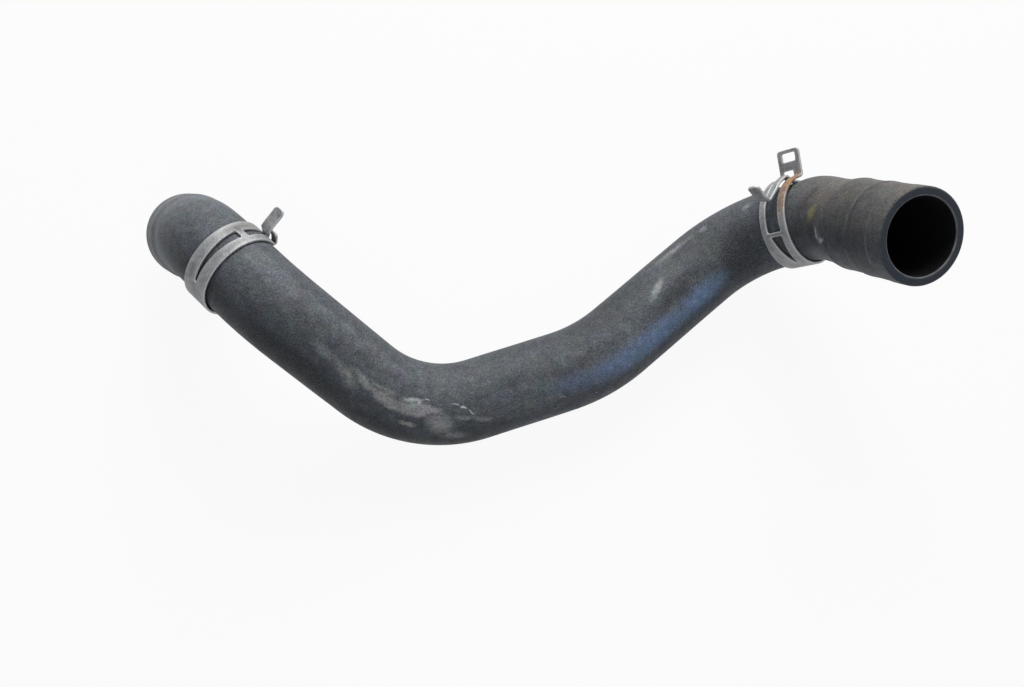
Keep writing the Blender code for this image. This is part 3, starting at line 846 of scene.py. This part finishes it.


# Dull zinc: mottled grey with chalky patches, brownish stains, light cut edges that are worn bare and carry
# a painted highlight, and rust
def makeZinc(wear):
    material, tree, shader, add = startMaterial(wear["name"])
    look = zincLook
    solid = add("TexCoord", {}).outputs["Object"]
    flat = add("UVMap", {}, uv_map="flatMap").outputs[0]
    ragged = raggedPlace(add, solid, flat, *look["ragged"])
    wearAndGlint = add("Attribute", {}, attribute_name="wearAndGlint").outputs["Fac"]
    mottle = speckle(add, solid, *look["mottle"])
    patch = speckle(add, solid, *look["patch"])
    grain = speckle(add, solid, *look["grain"])
    color = mixColor(add, mottle, look["dull"], look["bright"])
    color = mixColor(add, calc(add, "MULTIPLY", patch, wear["chalkShare"]), color, look["chalk"])
    stain = joinedMarks(add, ragged, wear["stains"])
    stain = calc(add, "MULTIPLY", stain, scaled(add, mottle, *look["stainShare"]))
    color = mixColor(add, stain, color, look["grime"])
    color = mixColor(add, calc(add, "MULTIPLY", grain, 0.42), color, look["grime"])
    # Cut edges: worn bare, with a painted highlight
    color = mixColor(add, calc(add, "MULTIPLY", wearAndGlint, 0.75), color, look["edge"])
    rust = joinedMarks(add, ragged, wear["rusts"])
    rust = calc(add, "MULTIPLY", rust, scaled(add, mottle, *look["rustShare"]))
    rustColor = mixColor(add, speckle(add, solid, *look["rustPatch"]), look["rust"], look["rustPale"])
    color = mixColor(add, rust, color, rustColor)
    tree.links.new(color, shader.inputs["Base Color"])
    cover = calc(add, "MAXIMUM", rust, stain)
    rough = calc(add, "ADD", scaled(add, mottle, 0.15, 0.46), calc(add, "MULTIPLY", cover, 0.25))
    tree.links.new(rough, shader.inputs["Roughness"])
    metal = calc(add, "MULTIPLY", calc(add, "SUBTRACT", 1.0, cover), 0.50)
    tree.links.new(metal, shader.inputs["Metallic"])
    height = calc(add, "ADD", calc(add, "MULTIPLY", grain, 0.6), mottle)
    bump = add("Bump", {"Height": height, "Strength": 0.65, "Distance": 0.00020})
    tree.links.new(bump.outputs[0], shader.inputs["Normal"])
    return material


print("clamps")
makeClamp(leftClamp, makeZinc(leftZinc))
makeClamp(rightClamp, makeZinc(rightZinc))


print("stage")
stage = {
    "floorSize": 6.0,
    "floorColor": (0.62, 0.62, 0.62, 1),
    "whiteShare": 0.93,          # how much of the floor's look is plain white
    "cameraPlace": (-0.00354, -0.24734, 0.59059),
    "cameraTilt": 21.87,
    "lens": 42.19,
    "sensorWidth": 36,
    "worldColor": (0.97, 0.98, 1.0, 1),
    "worldStrength": 0.17,       # for rays that are neither the camera's nor glossy
    # Lamps: place, aim, size, watts, colour
    "lamps": [((0.15, 1.0, 0.9), (0, 0, 0), 0.9, 20.0, (1.0, 0.995, 0.99)),
              ((0.1, -0.9, 0.8), (0, 0, 0.02), 0.7, 2.4, (0.90, 0.94, 1.0))],
}


# 1 for rays from the camera or off a glossy surface, which see plain white
def plainRays(tree):
    rays = tree.nodes.new("ShaderNodeLightPath")
    seen = tree.nodes.new("ShaderNodeMath")
    seen.operation = "MAXIMUM"
    tree.links.new(rays.outputs["Is Camera Ray"], seen.inputs[0])
    tree.links.new(rays.outputs["Is Glossy Ray"], seen.inputs[1])
    return seen.outputs[0]


# A pale floor that is nearly white to the camera and keeps a little of the shadow
def makeFloor():
    size = stage["floorSize"] / 2
    mesh = bpy.data.meshes.new("floor")
    corners = [(-size, -size, 0), (size, -size, 0), (size, size, 0), (-size, size, 0)]
    mesh.from_pydata(corners, [], [(0, 1, 2, 3)])
    floor = bpy.data.objects.new("floor", mesh)
    bpy.context.collection.objects.link(floor)
    material = bpy.data.materials.new("paleFloor")
    material.use_nodes = True
    tree = material.node_tree
    tree.nodes.clear()
    output = tree.nodes.new("ShaderNodeOutputMaterial")
    diffuse = tree.nodes.new("ShaderNodeBsdfDiffuse")
    diffuse.inputs["Color"].default_value = stage["floorColor"]
    white = tree.nodes.new("ShaderNodeEmission")
    share = tree.nodes.new("ShaderNodeMath")
    share.operation = "MULTIPLY"
    share.inputs[1].default_value = stage["whiteShare"]
    mix = tree.nodes.new("ShaderNodeMixShader")
    tree.links.new(plainRays(tree), share.inputs[0])
    tree.links.new(share.outputs[0], mix.inputs[0])
    tree.links.new(diffuse.outputs[0], mix.inputs[1])
    tree.links.new(white.outputs[0], mix.inputs[2])
    tree.links.new(mix.outputs[0], output.inputs["Surface"])
    mesh.materials.append(material)


def makeLight():
    world = bpy.data.worlds.new("softWorld")
    world.use_nodes = True
    tree = world.node_tree
    background = tree.nodes["Background"]
    background.inputs["Color"].default_value = stage["worldColor"]
    strength = tree.nodes.new("ShaderNodeMapRange")
    strength.inputs["To Min"].default_value = stage["worldStrength"]
    strength.inputs["To Max"].default_value = 1.0
    tree.links.new(plainRays(tree), strength.inputs["Value"])
    tree.links.new(strength.outputs[0], background.inputs["Strength"])
    bpy.context.scene.world = world
    for number, (place, aim, size, watts, color) in enumerate(stage["lamps"]):
        lamp = bpy.data.lights.new("lamp%d" % number, "AREA")
        lamp.shape = "DISK"
        lamp.size = size
        lamp.energy = watts
        lamp.color = color
        holder = bpy.data.objects.new("lamp%d" % number, lamp)
        bpy.context.collection.objects.link(holder)
        holder.location = place
        away = np.array(place) - np.array(aim)
        flat = math.hypot(away[0], away[1])
        holder.rotation_euler = (math.atan2(flat, away[2]), 0, math.atan2(away[1], away[0]) + math.pi / 2)


def makeCamera():
    camera = bpy.data.cameras.new("camera")
    camera.lens = stage["lens"]
    camera.sensor_width = stage["sensorWidth"]
    holder = bpy.data.objects.new("camera", camera)
    bpy.context.collection.objects.link(holder)
    holder.location = stage["cameraPlace"]
    holder.rotation_euler = (math.radians(stage["cameraTilt"]), 0, 0)
    bpy.context.scene.camera = holder


makeFloor()
makeLight()
makeCamera()
bpy.context.scene.view_settings.view_transform = "Standard"
